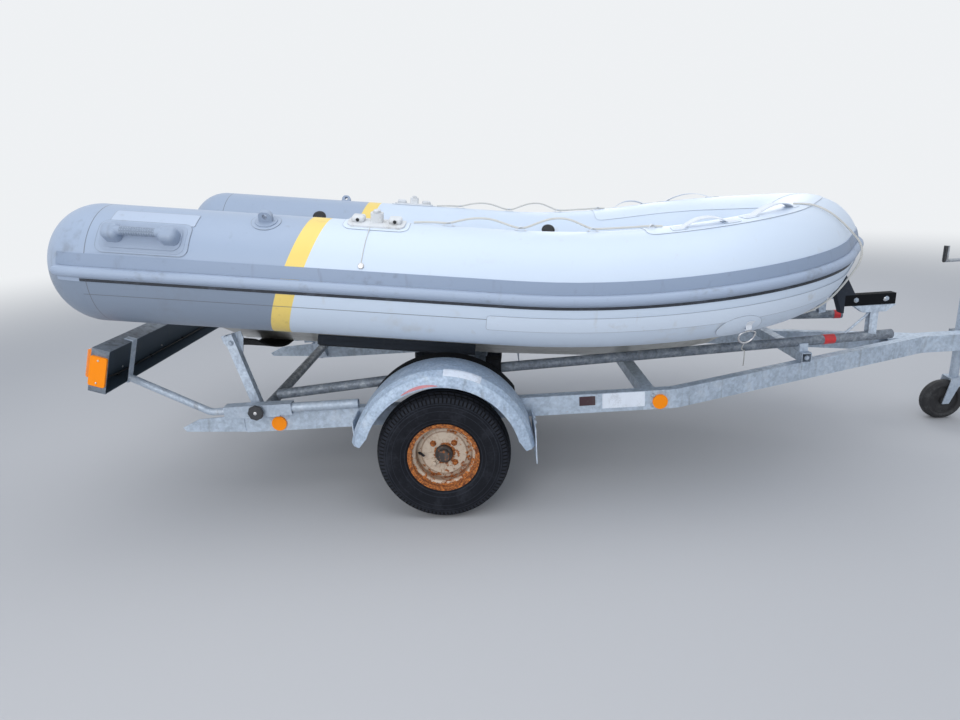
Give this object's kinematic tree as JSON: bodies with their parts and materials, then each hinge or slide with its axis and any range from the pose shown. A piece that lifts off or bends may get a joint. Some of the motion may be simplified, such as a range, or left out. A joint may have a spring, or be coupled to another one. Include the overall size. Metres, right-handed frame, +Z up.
{
  "type": "inflatable boat on road trailer",
  "caption": "Small rigid-hulled inflatable boat lying bow down on its galvanised road trailer, with fenders, jockey wheel, bow rest, rubber belt and a sliding light board.",
  "frame": {"origin": "on the ground at the middle of the whole outline, boat and trailer together", "axes": "+X towards the bow and the coupling, +Y to port, +Z up"},
  "size_m": [4.2851, 1.622, 1.2472],
  "materials": {
    "tube_white": "coated fabric, worn",
    "tube_grey": "coated fabric, worn",
    "cap_white": "satin",
    "webbing_grey": "woven webbing",
    "bead_grey": "satin",
    "patch_grey": "satin",
    "gelcoat": "gelcoat, stained",
    "deck_grey": "non-slip",
    "transom_white": "gelcoat",
    "pad_black": "ribbed",
    "galvanised": "galvanised, spangled, weathered",
    "zinc": "zinc plated",
    "wheel_cream": "painted, rusty",
    "hub_rust": "rusty",
    "tyre": "worn, dusty",
    "rubber_black": "matt",
    "board_white": "satin",
    "lamp_red": "ribbed lens",
    "reflector_amber": "prismatic",
    "knob_black": "satin",
    "cord_white": "braided"
  },
  "bodies": {
    "boat_and_trailer": {"axle_beam": "galvanised", "board_sleeves": "galvanised", "bow_locker": "transom_white", "bow_pads": "rubber_black", "bow_rest": "galvanised", "bow_rest_arms": "rubber_black", "bunk_posts": "galvanised", "bunks": "rubber_black", "buoyancy_tube": "tube_white", "coupling_head": "zinc", "cross_beams": "galvanised", "deck": "deck_grey", "drawbar_nose": "galvanised", "fender_stays": "galvanised", "fenders": "galvanised", "grab_handles": "knob_black", "handle_patches": "patch_grey", "hull": "gelcoat", "jack_clamp": "zinc", "jack_crank": "zinc", "jack_tube": "zinc", "motor_pads": "pad_black", "nose_cap": "cap_white", "rail_plates": "galvanised", "rail_reflectors": "reflector_amber", "rail_tails": "galvanised", "rear_belt": "rubber_black", "rear_cross_tube": "galvanised", "rear_posts": "galvanised", "ring_pads": "patch_grey", "ropes": "cord_white", "rowlock_pads": "patch_grey", "rub_strake": "bead_grey", "saddles": "rubber_black", "side_rail_left": "galvanised", "side_rail_right": "galvanised", "sleeve_knobs": "knob_black", "spine_clamps": "rubber_black", "spine_tubes": "galvanised", "splash_guards": "rubber_black", "stern_cones": "tube_grey", "strake_band": "tube_grey", "strap_handles": "webbing_grey", "swing_arms": "galvanised", "tow_rings": "cap_white", "transom": "transom_white"},
    "wheel_right": {"tyre_right": "tyre", "wheel_right": "wheel_cream", "hub_right": "hub_rust"},
    "wheel_left": {"tyre_left": "tyre", "wheel_left": "wheel_cream", "hub_left": "hub_rust"},
    "locker_lid": {"locker_lid": "transom_white"},
    "board_slide": {"light_board": "board_white", "light_arms": "galvanised", "tail_lamps": "lamp_red", "end_reflectors": "reflector_amber"},
    "jack_leg": {"jack_leg": "zinc"},
    "jack_fork": {"jack_fork": "zinc"},
    "jack_wheel": {"jack_wheel": "rubber_black"}
  },
  "joints": [
    {"name": "wheel_right_spin", "type": "hinge", "parent": "boat_and_trailer", "child": "wheel_right", "pos_m": [-0.7516, -0.682, 0.26], "axis": [0, 1, 0], "continuous": true},
    {"name": "wheel_left_spin", "type": "hinge", "parent": "boat_and_trailer", "child": "wheel_left", "pos_m": [-0.7516, 0.682, 0.26], "axis": [0, 1, 0], "continuous": true},
    {"name": "locker_lid_hinge", "type": "hinge", "parent": "boat_and_trailer", "child": "locker_lid", "pos_m": [0.44938, 0, 0.8931], "axis": [0, 1, 0], "range_deg": [0, 100]},
    {"name": "board_slide", "type": "slide", "parent": "boat_and_trailer", "child": "board_slide", "axis": [-0.9998, 0, -0.0209], "range_m": [0, 0.25]},
    {"name": "jack_leg_slide", "type": "slide", "parent": "boat_and_trailer", "child": "jack_leg", "axis": [-0.0209, 0, 0.9998], "range_m": [-0.1, 0.15]},
    {"name": "jack_fork_swivel", "type": "hinge", "parent": "jack_leg", "child": "jack_fork", "pos_m": [1.75019, 0.078, 0.20092], "axis": [-0.0209, 0, 0.9998], "continuous": true},
    {"name": "jack_wheel_spin", "type": "hinge", "parent": "jack_fork", "child": "jack_wheel", "pos_m": [1.70729, 0.078, 0.1], "axis": [0, 1, 0], "continuous": true}
  ]
}
